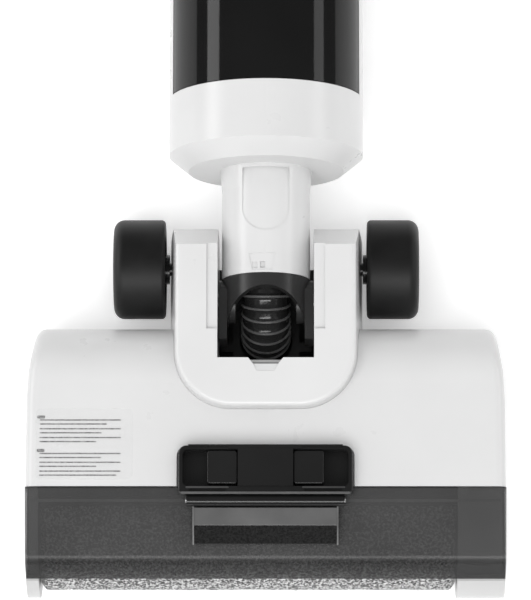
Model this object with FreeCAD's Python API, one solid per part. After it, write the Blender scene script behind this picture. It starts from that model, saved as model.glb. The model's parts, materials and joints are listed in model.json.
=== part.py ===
import FreeCAD, Part
import math
import os
from FreeCAD import Vector

# Cordless wet and dry stick floor washer, lying flat on its back.
# Millimetres. +X across the head, +Y from the roller towards the handle, +Z up, floor at Z = 0.
# Everything is drawn with Y = 0 on the recline pivot, and moved by FRAME_SHIFT_Y when it is written.

# ---- driving dimensions ----
HEAD_HALF_WIDTH = 142.0
HEAD_REAR_Y = -13.0
COVER_REAR_Y = -115.0
WALL = 2.5
FIT = 0.3                      # gap left round parts that only sit beside each other
RUNNING = 0.05                 # radial clearance of a shaft in its bore

PIVOT_Z = 60.0
PIVOT_PIN_R = 5.0
SLOT_HALF_WIDTH = 28.7
SLOT_FRONT_Y = -39.0
YOKE_TOP_Z = 90.0
YOKE_TOP_HALF = 53.5
YOKE_FOOT_HALF = 57.0
YOKE_FRONT_Y = -68.0
YOKE_REAR_Y = 46.8
YOKE_SLOPE_Y = 29.5             # where the top gives way to the sloping rear

ROLLER_Y = -134.5
ROLLER_Z = 36.0
ROLLER_R = 36.0
ROLLER_LEFT_X = -133.7
ROLLER_RIGHT_X = 112.5
CORE_R = 24.0
BAY_NOSE_R = 40.2

WHEEL_Y = 26.0
WHEEL_R = 30.0
WHEEL_IN_X = 60.8
WHEEL_OUT_X = 92.0
AXLE_R = 4.0

MOTOR_Y = -65.0
MOTOR_Z = 30.0
MOTOR_R = 17.0
ROLLER_PULLEY_R = 16.0
PINION_R = 8.0
BELT_GAP = 0.5
BELT_THICK = 2.0

NECK_R = 26.4
NECK_BORE_R = 22.0
HOSE_R = 15.0
HOSE_BORE_R = 11.0

BODY_R = 58.3
CUP_FLOOR_Y = 79.7
CUP_RIM_Y = 123.8
TANK_HALF_WIDTH = 55.6
TANK_TOP_Y = 330.0
MODULE_TOP_Y = 345.0
HOUSING_END_Y = 500.0
HANDLE_SOCKET_END_Y = 570.0
HANDLE_R = 14.0
HANDLE_END_Y = 800.0
GRIP_Y = 867.0
GRIP_Z = 38.0                  # centre height of the grip loop, so that it rests on the floor
GRIP_HALF_LENGTH = 68.0
GRIP_HALF_HEIGHT = 38.0
GRIP_HALF_WIDTH = 13.0

FRAME_SHIFT_Y = -380.15

parts = {}


# ---- small helpers ----
def box(x0, x1, y0, y1, z0, z1):
    return Part.makeBox(x1 - x0, y1 - y0, z1 - z0, Vector(x0, y0, z0))


def rod(start, end, radius):
    direction = Vector(*end) - Vector(*start)
    return Part.makeCylinder(radius, direction.Length, Vector(*start), direction)


def rod_x(x0, x1, y, z, radius):
    return rod((x0, y, z), (x1, y, z), radius)


def rod_y(y0, y1, x, z, radius):
    return rod((x, y0, z), (x, y1, z), radius)


def rod_z(z0, z1, x, y, radius):
    return rod((x, y, z0), (x, y, z1), radius)


def slab(points, x0, x1):
    """Side outline given as (y, z), drawn out along X."""
    wire = Part.makePolygon([Vector(x0, y, z) for y, z in points + points[:1]])
    return Part.Face(wire).extrude(Vector(x1 - x0, 0, 0))


def plate(points, z0, z1):
    """Plan outline given as (x, y), drawn up along Z."""
    wire = Part.makePolygon([Vector(x, y, z0) for x, y in points + points[:1]])
    return Part.Face(wire).extrude(Vector(0, 0, z1 - z0))


def mirror_x(shape):
    return shape.mirror(Vector(0, 0, 0), Vector(1, 0, 0))


def both_sides(shape):
    return shape.fuse(mirror_x(shape))


def rounded(shape, radius, wanted):
    """Round the edges whose centre passes the test, or leave the shape if that can't be done."""
    edges = [e for e in shape.Edges if wanted(e)]
    if not edges:
        return shape
    try:
        result = shape.makeFillet(radius, edges)
    except Part.OCCError:
        return shape
    return result if result.isValid() and result.Volume > 0 else shape


def along(edge, axis):
    """True for a straight edge that runs along one axis (0, 1 or 2)."""
    if not isinstance(edge.Curve, Part.Line):
        return False
    d = edge.Vertexes[-1].Point - edge.Vertexes[0].Point
    return abs(abs(d[axis]) - d.Length) < 1e-6


def add(name, shape):
    solids = shape.Solids
    if len(solids) == 1:
        shape = solids[0]
    else:
        shape = Part.makeCompound(solids)
    parts[name] = shape


# ---- head: outlines shared by several pieces ----
def hood_profile(inset):
    """Side outline of the hood: upright rear wall, round shoulder, gently rising top."""
    rear = HEAD_REAR_Y - inset
    a = Vector(0, rear, 40)
    b = Vector(0, -24.5 - 0.75 * inset, 66 - 0.75 * inset)
    c = Vector(0, -52, 78 - inset)
    d = Vector(0, COVER_REAR_Y, 84 - inset)
    e = Vector(0, COVER_REAR_Y, 6)
    f = Vector(0, rear, 6)
    edges = [
        Part.Arc(a, b, c).toShape(),
        Part.makeLine(c, d),
        Part.makeLine(d, e),
        Part.makeLine(e, f),
        Part.makeLine(f, a),
    ]
    return Part.Face(Part.Wire(edges))


def hood_solid(inset):
    face = hood_profile(inset)
    face.translate(Vector(-150, 0, 0))
    block = face.extrude(Vector(300, 0, 0))
    half = HEAD_HALF_WIDTH - inset
    side = [(half, -116), (half, -62), (half - 0.9, -44), (half - 5.4, HEAD_REAR_Y + 1)]
    plan = side + [(-x, y) for x, y in reversed(side)]
    block = block.common(plate(plan, 0, 100))
    radius = 6.0 - inset
    return rounded(block, radius, lambda e: abs(e.CenterOfMass.x) > half - 5 and is_top_edge(e))


def is_top_edge(edge):
    return edge.CenterOfMass.z > 41 and not along(edge, 2)


def yoke_wire(half, front, rear, corner, z):
    pts = [
        Vector(-half, rear, z),
        Vector(-half, front + corner, z),
        Vector(-half + corner * 0.293, front + corner * 0.293, z),
        Vector(-half + corner, front, z),
        Vector(half - corner, front, z),
        Vector(half - corner * 0.293, front + corner * 0.293, z),
        Vector(half, front + corner, z),
        Vector(half, rear, z),
    ]
    return Part.Wire([
        Part.makeLine(pts[0], pts[1]),
        Part.Arc(pts[1], pts[2], pts[3]).toShape(),
        Part.makeLine(pts[3], pts[4]),
        Part.Arc(pts[4], pts[5], pts[6]).toShape(),
        Part.makeLine(pts[6], pts[7]),
        Part.makeLine(pts[7], pts[0]),
    ])


def yoke_solid(inset):
    """Tapered block with big round front corners and a sloping rear, inset for the cavity."""
    low, high = 6.0, YOKE_TOP_Z - inset
    foot = YOKE_FOOT_HALF + 1.5 - inset
    top = YOKE_TOP_HALF - inset
    front = YOKE_FRONT_Y + inset
    rear = YOKE_REAR_Y - inset
    block = Part.makeLoft([
        yoke_wire(foot, front - 1.5, rear, 34 - inset, low),
        yoke_wire(top, front, rear, 34 - inset, high),
    ], True, True)
    brow = YOKE_SLOPE_Y - inset
    slope = slab([(rear + 1, 49), (rear + 1, 95), (brow, 95), (brow, high), (rear, 50)], -70, 70)
    block = block.cut(slope)
    if inset > 0:
        return block
    block = rounded(block, 3.0, lambda e: e.CenterOfMass.z > 88 and e.CenterOfMass.y < 20)
    return rounded(block, 5.0, is_rear_corner)


def is_rear_corner(edge):
    centre = edge.CenterOfMass
    return abs(centre.x) > 50 and centre.y > 33 and edge.Length > 30


def end_wall_outline(x0, x1, rear_y):
    """Roller-bay end wall: round nose about the roller, box behind, trimmed under the cover."""
    nose = rod_x(x0, x1, ROLLER_Y, ROLLER_Z, BAY_NOSE_R)
    shape = nose.fuse(box(x0, x1, ROLLER_Y, rear_y, 4, 84))
    keep = slab([
        (rear_y, 4), (-176.5, 4), (-176.5, 58.4), (-163.8, 58.4),
        (-157.6, 70.8), (COVER_REAR_Y - FIT, 80.7), (rear_y, 74.5),
    ], x0, x1)
    shape = shape.common(keep)
    hooded = box(-150, 150, COVER_REAR_Y, 0, 0, 100).cut(hood_solid(WALL + FIT))
    return shape.cut(hooded)


# ---- head: hood, yoke and pan ----
yoke_outer = yoke_solid(0)
yoke_gap = yoke_solid(-0.1)
yoke_gap = yoke_gap.fuse(box(-YOKE_FOOT_HALF - 1.2, YOKE_FOOT_HALF + 1.2, -45, 0, 5, 36))

hood = hood_solid(0).cut(hood_solid(WALL))
hood = hood.cut(box(-HEAD_HALF_WIDTH, HEAD_HALF_WIDTH, -120, COVER_REAR_Y, 0, 100))
hood = hood.cut(yoke_gap)

LATCH_HALF = 51.5
LATCH_FRONT_Y = -120.6
LATCH_REAR_Y = -91.8
pocket = box(-LATCH_HALF - 3, LATCH_HALF + 3, COVER_REAR_Y - 1, LATCH_REAR_Y + 3, 72.6, 82.4)
pocket = pocket.common(hood_solid(0.05))
pocket_hole = box(-LATCH_HALF - 1, LATCH_HALF + 1, COVER_REAR_Y - 2, LATCH_REAR_Y + 1, 74.6, 100)
pocket_hole = rounded(pocket_hole, 6.0, lambda e: along(e, 2) and e.CenterOfMass.y > -100)
hood = hood.cut(pocket_hole).fuse(pocket.cut(pocket_hole)).removeSplitter()
add("head_upper_shell", hood)

yoke = yoke_outer.cut(yoke_solid(WALL).common(box(-70, 70, -80, 60, 0, 95)))
slot_lining = SLOT_HALF_WIDTH + WALL
lining = box(-slot_lining, slot_lining, SLOT_FRONT_Y - WALL, YOKE_REAR_Y, 9.3, 95)
yoke = yoke.fuse(yoke_outer.common(lining))
slot = box(-SLOT_HALF_WIDTH, SLOT_HALF_WIDTH, SLOT_FRONT_Y, 60, 0, 100)
yoke = yoke.cut(slot)
yoke = yoke.cut(box(-70, 70, -90, SLOT_FRONT_Y - WALL - 3, 0, 66))
yoke = yoke.cut(box(-70, 70, -90, 60, 0, 9.3))
notch = plate([(-11.2, -38), (11.2, -38), (7.6, -42.6), (-7.6, -42.6)], 70, 95)
notch = notch.common(slab([(-38, 80), (-42.6, 88.4), (-42.6, 95), (-38, 95)], -20, 20))
tab = plate([(-7.6, -42.5), (7.6, -42.5), (5.4, -47), (-5.4, -47)], 70, 95)
tab = tab.common(slab([(-42.5, 88.4), (-47, 89.6), (-47, 95), (-42.5, 95)], -20, 20))
yoke = yoke.cut(notch).cut(tab)
wheel_boss = rod_x(34.0, 56.0, WHEEL_Y, WHEEL_R, 9.0)
pin_boss = rod_x(SLOT_HALF_WIDTH + 1, 42.0, 0, PIVOT_Z, 9.0)
yoke = yoke.fuse(both_sides(wheel_boss)).fuse(both_sides(pin_boss))
yoke = yoke.cut(both_sides(rod_x(30.0, 63.5, WHEEL_Y, WHEEL_R, AXLE_R + RUNNING)))
yoke = yoke.cut(both_sides(rod_x(26.0, 44.1, 0, PIVOT_Z, PIVOT_PIN_R + RUNNING)))
strip = box(28.0, 35.2, -21.6, 60, 87.6, 95)
yoke = yoke.cut(both_sides(strip))
yoke = yoke.cut(box(-18.4, 18.4, -60.0, SLOT_FRONT_Y + 1, 5, 33.4))
add("yoke_cover", yoke.removeSplitter())

pan = box(-139.3, 139.3, -92.1, -15.8, 6, 9).common(hood_solid(WALL + FIT))
pan = pan.cut(box(113.2, 140, -95, -49.7, 5, 10))
pan = pan.cut(box(-140, -134.2, -95, -89.7, 5, 10))
slot_floor = box(-57.0, 57.0, -16.0, 30.0, 6, 9)
arm = box(SLOT_HALF_WIDTH, 57.0, -16.0, 44.0, 6, 9)
pan = pan.fuse(slot_floor).fuse(both_sides(arm)).removeSplitter()
screw_spots = [(-125.0, -85.0), (-125.0, -25.0), (100.0, -85.0), (100.0, -25.0), (-44.0, 36.0), (44.0, 36.0)]
for x, y in screw_spots:
    pan = pan.cut(rod_z(5, 10, x, y, 2.0)).cut(rod_z(5, 7.6, x, y, 3.9))
CONTACT_X = (-10.0, 10.0)
for x in CONTACT_X:
    pan = pan.cut(rod_z(5.0, 12.0, x, -28.0, 4.05))
add("head_base_plate", pan)

screws = []
for x, y in screw_spots:
    screw = rod_z(6.1, 7.6, x, y, 3.7).fuse(rod_z(7.5, 18, x, y, 1.9))
    screw = screw.cut(box(x - 2.6, x + 2.6, y - 0.4, y + 0.4, 5, 6.9))
    screw = screw.cut(box(x - 0.4, x + 0.4, y - 2.6, y + 2.6, 5, 6.9))
    screws.append(screw)
add("sole_screws", Part.makeCompound(screws))

# ---- head: roller bay ----
left_wall = end_wall_outline(-HEAD_HALF_WIDTH, -134.5, -90.0)
left_wall = left_wall.cut(box(-150, -139.3, COVER_REAR_Y - FIT, 0, 0, 100))
left_wall = left_wall.cut(box(-150, -139.9, -180, -100, 58.4, 100))
left_wall = left_wall.cut(rod_x(-139.5, -120.0, ROLLER_Y, ROLLER_Z, 5.0 + RUNNING))
add("left_end_cap", left_wall)

housing = end_wall_outline(113.5, HEAD_HALF_WIDTH, -50.0)
ROOM_R = BAY_NOSE_R - 2.2
housing = housing.cut(box(139.3, 150, COVER_REAR_Y - FIT, 0, 0, 100))
housing = housing.cut(box(139.9, 150, -180, -100, 58.4, 100))
room = rod_x(115.9, 134.0, ROLLER_Y, ROLLER_Z, ROOM_R).fuse(box(115.9, 134.0, ROLLER_Y, -52.4, 6.4, 72.0))
room = room.common(slab([(-52, 6.4), (-176, 6.4), (-176, 56), (-162, 56), (-155, 68), (-52, 68)], 110, 150))
housing = housing.cut(room)
housing = housing.cut(rod_x(113.0, 116.5, ROLLER_Y, ROLLER_Z, 6.0 + RUNNING))
housing = housing.cut(rod_x(113.0, 116.5, MOTOR_Y, MOTOR_Z, 3.0 + RUNNING))
add("right_drive_housing", housing)


def bay_point(radius, degrees):
    angle = math.radians(degrees)
    return ROLLER_Y + radius * math.cos(angle), ROLLER_Z + radius * math.sin(angle)


bay_wall = rod_x(-134.3, 113.3, ROLLER_Y, ROLLER_Z, 40.7).cut(rod_x(-140, 120, ROLLER_Y, ROLLER_Z, 38.5))
sector = [(ROLLER_Y, ROLLER_Z)] + [bay_point(60, a) for a in (-34, -10, 20, 50, 76)]
bay_wall = bay_wall.common(slab(sector, -140, 120))
mouth = box(-60, 60, -110, -90, 27, 45)
bay_wall = bay_wall.cut(mouth)

BLADE_ANGLE = 68.0
blade = slab([
    bay_point(36.5, BLADE_ANGLE - 0.9), bay_point(41.5, BLADE_ANGLE - 0.9),
    bay_point(41.5, BLADE_ANGLE + 0.9), bay_point(36.5, BLADE_ANGLE + 0.9)], -132, 111)
blade_slot = slab([
    bay_point(30, BLADE_ANGLE - 1.4), bay_point(50, BLADE_ANGLE - 1.4),
    bay_point(50, BLADE_ANGLE + 1.4), bay_point(30, BLADE_ANGLE + 1.4)], -132.3, 111.3)
bay_wall = bay_wall.cut(blade_slot)
add("roller_hood", bay_wall)
add("scraper_blade", blade)

bar_y, bar_z = bay_point(43.9, 46)
spray_bar = rod_x(-120, 104, bar_y, bar_z, 2.6).cut(rod_x(-118, 102, bar_y, bar_z, 1.5))
spray_bar = spray_bar.fuse(rod_y(bar_y, bar_y + 12.0, -60, bar_z, 2.4))
spray_bar = spray_bar.cut(rod_x(-118, 102, bar_y, bar_z, 1.5))
add("water_spray_bar", spray_bar)

duct_back = -52.0


def upright_ring(y, half, z0, z1):
    corners = [(-half, z0), (half, z0), (half, z1), (-half, z1), (-half, z0)]
    return Part.makePolygon([Vector(x, y, z) for x, z in corners])


def duct_solid(grow):
    """Flat at the roller, squarer towards the hose."""
    return Part.makeLoft([
        upright_ring(-88.4, 62 + grow, 23.5 - grow, 49 + grow),
        upright_ring(duct_back, 21 + grow, 10 - grow, 36 + grow),
    ], True, True)


duct = duct_solid(0).cut(duct_solid(-2.0))
duct = duct.cut(box(-60, 60, -90, -86, 25.5, 47)).cut(box(-16, 16, -55, -50, 13, 31))
duct_mouth = box(-62, 62, -93.6, -88.4, 23.5, 49).cut(box(-60, 60, -95, -88, 25.5, 47))
duct_mouth = duct_mouth.cut(rod_x(-140, 120, ROLLER_Y, ROLLER_Z, 41.0))
duct = duct.fuse(duct_mouth).removeSplitter()
add("suction_duct", duct)

squeegee = box(-131, 110, -94.2, -92.4, 0.4, 20.0).fuse(box(-131, 110, -92.5, -89.0, 9.3, 20.0))
add("rear_squeegee", squeegee.removeSplitter().cut(duct_solid(0.4)))

HOSE_STRAIGHT = 28.0
HOSE_TAIL = 6.0
bend_start = Vector(0, 11.0, PIVOT_Z)
hose_dive = math.radians(74)
bend_radius = 29.0
bend_drop = bend_radius * (1 - math.cos(hose_dive))
bend_end = Vector(0, bend_start.y - bend_radius * math.sin(hose_dive), PIVOT_Z - bend_drop)
hose_out = Vector(0, -math.cos(hose_dive), -math.sin(hose_dive))
elbow = box(-20.0, 20.0, SLOT_FRONT_Y + FIT, 1.0, 9.3, 34.0)
elbow = rounded(elbow, 4.0, lambda e: along(e, 2) and e.CenterOfMass.y > -5)
elbow = elbow.fuse(box(-27.0, 27.0, -25.2, -19.7, 26.0, 34.0))
elbow = elbow.fuse(box(-18.0, 18.0, duct_back + 0.05, SLOT_FRONT_Y + 1, 11.0, 33.0))
elbow = elbow.cut(box(-17.0, 17.0, SLOT_FRONT_Y + 2, -4.0, 11.3, 31.5))
elbow = elbow.cut(box(-16.0, 16.0, duct_back - 1, SLOT_FRONT_Y + 3, 13.0, 31.0))
elbow = elbow.cut(rod(tuple(bend_end - hose_out * 8.0), tuple(bend_end + hose_out * 12.0), HOSE_R + 0.7))
add("hose_socket", elbow.removeSplitter())

# ---- head: corrugated suction hose ----
def hose_point(s):
    """Centre and direction of the hose at distance s from its neck end."""
    arc = bend_radius * hose_dive
    if s <= HOSE_STRAIGHT:
        return Vector(0, bend_start.y + HOSE_STRAIGHT - s, PIVOT_Z), Vector(0, -1, 0)
    if s <= HOSE_STRAIGHT + arc:
        a = (s - HOSE_STRAIGHT) / bend_radius
        drop = bend_radius * (1 - math.cos(a))
        centre = Vector(0, bend_start.y - bend_radius * math.sin(a), PIVOT_Z - drop)
        return centre, Vector(0, -math.cos(a), -math.sin(a))
    return bend_end + hose_out * (s - HOSE_STRAIGHT - arc), hose_out


HOSE_LENGTH = HOSE_STRAIGHT + bend_radius * hose_dive + HOSE_TAIL
start_point, start_dir = hose_point(0)
mid_point, mid_dir = hose_point(HOSE_STRAIGHT + bend_radius * hose_dive / 2)
spine_wire = Part.Wire([
    Part.makeLine(start_point, bend_start),
    Part.Arc(bend_start, mid_point, bend_end).toShape(),
    Part.makeLine(bend_end, bend_end + hose_out * HOSE_TAIL),
])


def swept(radius):
    circle = Part.Wire([Part.makeCircle(radius, start_point, start_dir)])
    return spine_wire.makePipeShell([circle], True, False)


hose = swept(13.4)
ring_pitch = 5.4
for i in range(int(HOSE_LENGTH / ring_pitch)):
    centre, direction = hose_point(2.4 + i * ring_pitch)
    hose = hose.fuse(Part.makeCylinder(HOSE_R, 1.6, centre - direction * 0.8, direction))
hose = hose.cut(swept(HOSE_BORE_R))
add("suction_hose", hose)

# ---- head: roller drive ----
motor = rod_x(57, 104, MOTOR_Y, MOTOR_Z, MOTOR_R).fuse(rod_x(104, 108, MOTOR_Y, MOTOR_Z, 8))
motor = motor.fuse(box(60, 100, MOTOR_Y - 12, MOTOR_Y + 12, 9.2, 20))
motor = motor.cut(rod_x(80, 112, MOTOR_Y, MOTOR_Z, 3.0 + RUNNING))
add("roller_motor", motor.removeSplitter())
pinion = rod_x(118.5, 128.5, MOTOR_Y, MOTOR_Z, PINION_R).fuse(rod_x(82, 131, MOTOR_Y, MOTOR_Z, 3.0))
for x in (117.3, 128.5):
    pinion = pinion.fuse(rod_x(x, x + 1.2, MOTOR_Y, MOTOR_Z, PINION_R + 2.5))
add("drive_pinion", pinion.removeSplitter())


def belt_solid(offset, x0, x1):
    """Tangent outline round both pulleys at a distance from their rims."""
    r1, r2 = PINION_R + offset, ROLLER_PULLEY_R + offset
    dy, dz = ROLLER_Y - MOTOR_Y, ROLLER_Z - MOTOR_Z
    reach = math.hypot(dy, dz)
    base = math.atan2(dz, dy)
    lean = math.acos((r1 - r2) / reach)
    pts = []
    for sign in (1, -1):
        a = base + sign * lean
        p = (MOTOR_Y + r1 * math.cos(a), MOTOR_Z + r1 * math.sin(a))
        q = (ROLLER_Y + r2 * math.cos(a), ROLLER_Z + r2 * math.sin(a))
        pts.append((p, q))
    loop = slab([pts[0][0], pts[0][1], pts[1][1], pts[1][0]], x0, x1)
    loop = loop.fuse(rod_x(x0, x1, MOTOR_Y, MOTOR_Z, r1))
    return loop.fuse(rod_x(x0, x1, ROLLER_Y, ROLLER_Z, r2))


belt = belt_solid(BELT_GAP + BELT_THICK, 119.4, 127.6).cut(belt_solid(BELT_GAP, 118, 129))
add("drive_belt", belt.removeSplitter())

# ---- roller ----
def roller_rod(x0, x1, radius):
    return rod_x(x0, x1, ROLLER_Y, ROLLER_Z, radius)


add("roller_sleeve", roller_rod(ROLLER_LEFT_X, ROLLER_RIGHT_X, ROLLER_R).cut(roller_rod(-140, 120, CORE_R)))
core = roller_rod(ROLLER_LEFT_X + 0.5, ROLLER_RIGHT_X - 0.5, CORE_R)
add("roller_core", core.cut(roller_rod(-140, 120, 21.0)))
plug = roller_rod(ROLLER_LEFT_X + 0.5, -118, 21.0).cut(roller_rod(-129, -110, 14.0))
add("roller_left_plug", plug.fuse(roller_rod(-139.2, -128, 5.0)).removeSplitter())
pulley = roller_rod(98, 112, 21.0).cut(roller_rod(90, 108, 15.0))
pulley = pulley.fuse(roller_rod(108, 131, 6.0)).fuse(roller_rod(118.5, 128.5, ROLLER_PULLEY_R))
for x in (117.3, 128.5):
    pulley = pulley.fuse(roller_rod(x, x + 1.2, ROLLER_PULLEY_R + 3))
add("roller_drive_pulley", pulley.removeSplitter())

# ---- rear wheels ----
def tyre_solid():
    wheel = rod_x(WHEEL_IN_X, WHEEL_OUT_X, WHEEL_Y, WHEEL_R, WHEEL_R)
    wheel = rounded(wheel, 6.5, lambda e: e.CenterOfMass.x > WHEEL_OUT_X - 0.1)
    wheel = rounded(wheel, 2.5, lambda e: e.CenterOfMass.x < WHEEL_IN_X + 0.1)
    return wheel.cut(rod_x(WHEEL_IN_X - 1, WHEEL_OUT_X + 1, WHEEL_Y, WHEEL_R, 20.0))


def hub_solid():
    hub = rod_x(WHEEL_IN_X + 1, WHEEL_OUT_X - 1.5, WHEEL_Y, WHEEL_R, 20.0)
    hub = hub.cut(rod_x(WHEEL_IN_X, WHEEL_IN_X + 12, WHEEL_Y, WHEEL_R, 17.0))
    hub = hub.cut(rod_x(WHEEL_OUT_X - 4, WHEEL_OUT_X, WHEEL_Y, WHEEL_R, 16.0))
    hub = hub.fuse(rod_x(58.4, WHEEL_IN_X + 14, WHEEL_Y, WHEEL_R, 9.0))
    return hub.fuse(rod_x(36.0, WHEEL_IN_X + 14, WHEEL_Y, WHEEL_R, AXLE_R)).removeSplitter()


add("wheel_right", tyre_solid())
add("wheel_hub_right", hub_solid())
add("wheel_left", mirror_x(tyre_solid()))
add("wheel_hub_left", mirror_x(hub_solid()))

pin = rod_x(19.0, 44.0, 0, PIVOT_Z, PIVOT_PIN_R)
add("pivot_pins", Part.makeCompound([pin, mirror_x(pin)]))

contacts = [rod_z(6.2, 9.0, x, -28.0, 4.0) for x in CONTACT_X]
add("charging_contacts", Part.makeCompound(contacts))

# blank clear sticker lying on the left of the hood
label = rounded(box(-136.0, -78.5, -111.0, -68.0, 60, 100), 3.0, lambda e: along(e, 2))
add("label_film", label.common(hood_solid(-0.16).cut(hood_solid(-0.04))))

# ---- front cover and its latch ----
def is_cover_bend(edge):
    centre = edge.CenterOfMass
    return along(edge, 0) and abs(centre.y + 158.6) < 0.1 and abs(centre.z - 74.0) < 0.1


COVER_OUTER = [(COVER_REAR_Y - FIT, 84.0), (-158.6, 74.0), (-166.7, 59.2)]
COVER_INNER = [(-164.6, 58.9), (-157.2, 72.1), (COVER_REAR_Y - FIT, 81.6)]
cover = slab(COVER_OUTER + COVER_INNER, -HEAD_HALF_WIDTH, HEAD_HALF_WIDTH)
flange = slab(COVER_OUTER + [(-163.9, 58.9), (COVER_REAR_Y - FIT, 58.9)], 140.2, HEAD_HALF_WIDTH)
cover = cover.fuse(both_sides(flange)).removeSplitter()
cover = rounded(cover, 1.2, lambda e: along(e, 0) and e.CenterOfMass.z > 82 and e.CenterOfMass.y > -116)
cover = rounded(cover, 8.0, is_cover_bend)

under_latch = slab([(-132, 60), (-132, 80.35), (COVER_REAR_Y - FIT, 84.2), (COVER_REAR_Y - FIT, 60)], -60, 60)
latch_base = box(-LATCH_HALF, LATCH_HALF, LATCH_FRONT_Y, LATCH_REAR_Y, 75.2, 91.5)
latch_base = rounded(latch_base, 5.0, lambda e: along(e, 2) and e.CenterOfMass.y > -100)
latch_base = rounded(latch_base, 1.2, lambda e: e.CenterOfMass.z > 91)
well = box(-LATCH_HALF + 2.6, LATCH_HALF - 2.6, LATCH_FRONT_Y + 4.4, LATCH_REAR_Y - 2.6, 78.0, 100)
well = rounded(well, 3.0, lambda e: along(e, 2))
latch_base = latch_base.cut(well)
block = box(-13.0, 13.0, LATCH_FRONT_Y + 4.4, LATCH_REAR_Y - 2.0, 77.5, 92.8)
block = block.fuse(box(-16.3, 16.3, LATCH_FRONT_Y + 4.4, LATCH_REAR_Y - 2.0, 91.7, 92.8))
block = block.fuse(box(-21.5, 21.5, LATCH_REAR_Y - 2.2, LATCH_REAR_Y, 77.5, 92.6))
block = block.fuse(box(-45.5, 45.5, LATCH_REAR_Y - 1.0, LATCH_REAR_Y + 0.3, 86.0, 92.3))
latch_base = latch_base.fuse(block)
for side in (-1, 1):
    x_mid = side * 34.0
    slit = box(x_mid - 11, x_mid + 11, LATCH_FRONT_Y + 1.2, LATCH_FRONT_Y + 3.0, 89.5, 95)
    latch_base = latch_base.cut(slit)
latch_base = latch_base.fuse(rod_x(-46.5, 46.5, -124.0, 86.6, 3.6))
add("latch_housing", latch_base.cut(under_latch).removeSplitter())

tongue = slab([(-127.4, 82.3), (-127.4, 86.4), (-138.6, 86.0), (-149.0, 79.6), (-149.0, 76.9)], -42.0, 42.0)
tongue = tongue.cut(rod_x(-50, 50, -124.0, 86.6, 3.9))
tongue = rounded(tongue, 0.8, lambda e: along(e, 0) and e.CenterOfMass.z > 79)
add("latch_tongue", tongue)

for side, name in ((-1, "latch_button_left"), (1, "latch_button_right")):
    pad = box(16.6, 34.4, LATCH_FRONT_Y + 5.8, LATCH_REAR_Y - 3.1, 78.4, 91.4)
    pad = rounded(pad, 2.0, lambda e: along(e, 2))
    pad = rounded(pad, 0.8, lambda e: e.CenterOfMass.z > 91.3)
    add(name, pad if side > 0 else mirror_x(pad))

add("cover_window", cover)

# ---- neck: fork, swivel ring, tube ----
fork = rod_y(-22.0, 12.9, 0, PIVOT_Z, NECK_R).fuse(rod_y(12.0, 34.0, 0, PIVOT_Z, NECK_BORE_R - 0.08))
fork = fork.fuse(both_sides(box(18.2, 28.2, -24.5, 6.0, PIVOT_Z - 12.8, PIVOT_Z + 12.8)))
arch = rod_z(0, 120, 0, -17.5, 23.2).fuse(box(-23.2, 23.2, -40, -17.5, 0, 120))
fork = fork.cut(arch.removeSplitter())
fork = fork.fuse(both_sides(rod_x(18.2, 28.2, 0, PIVOT_Z, 12.8)))
fork = fork.cut(rod_y(-40.0, 40.0, 0, PIVOT_Z, 18.0))
fork = fork.cut(both_sides(rod_x(10.0, 30.0, 0, PIVOT_Z, PIVOT_PIN_R + RUNNING)))
add("neck_fork", fork.removeSplitter())
add("swivel_ring", rod_y(34.05, 36.8, 0, PIVOT_Z, 23.6).cut(rod_y(30, 40, 0, PIVOT_Z, 18.0)))

neck = rod_y(13.25, CUP_FLOOR_Y, 0, PIVOT_Z, NECK_R)
flare = Part.makeCone(NECK_R, NECK_R + 1.2, 14.0, Vector(0, CUP_FLOOR_Y - 14.0, PIVOT_Z), Vector(0, 1, 0))
neck = neck.fuse(flare)
neck = neck.cut(rod_y(10, 90, 0, PIVOT_Z, NECK_BORE_R))
neck = neck.cut(rod_y(33.7, 37.2, 0, PIVOT_Z, 24.0))
skin = rod_y(10, 90, 0, PIVOT_Z, NECK_R + 1).cut(rod_y(9, 91, 0, PIVOT_Z, NECK_R - 0.6))
thumb = rod_z(PIVOT_Z, 100, 0, 53.0, 14.0).fuse(box(-14, 14, 53.0, CUP_FLOOR_Y + 1, PIVOT_Z, 100))
badge = plate([(-8.2, 14.8), (3.8, 14.8), (5.8, 25.0), (-10.2, 25.0)], PIVOT_Z, 100)
neck = neck.cut(skin.common(thumb)).cut(skin.common(badge))
for x in (-6.5, -1.9):
    neck = neck.cut(box(x - 1.5, x + 1.5, 15.9, 19.8, PIVOT_Z + NECK_R - 2.4, 100))
add("neck_tube", neck.removeSplitter())

# ---- body: cup, spine and pipe ----
def turned(profile):
    """Profile given as (y, r), turned about the body axis."""
    wire = Part.makePolygon([Vector(0, y, PIVOT_Z + r) for y, r in profile + profile[:1]])
    return Part.Face(wire).revolve(Vector(0, 0, PIVOT_Z), Vector(0, 1, 0), 360)


cup_outer = turned([(CUP_FLOOR_Y, 0), (CUP_FLOOR_Y, 46.7), (89.2, BODY_R), (CUP_RIM_Y, BODY_R), (CUP_RIM_Y, 0)])
cup_inner = turned([(83.0, 0), (83.0, 44.0), (90.5, BODY_R - 2.9), (130.0, BODY_R - 2.9), (130.0, 0)])
cup = cup_outer.cut(cup_inner).cut(rod_y(70, 90, 0, PIVOT_Z, NECK_BORE_R))
add("body_cup", cup)

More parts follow.
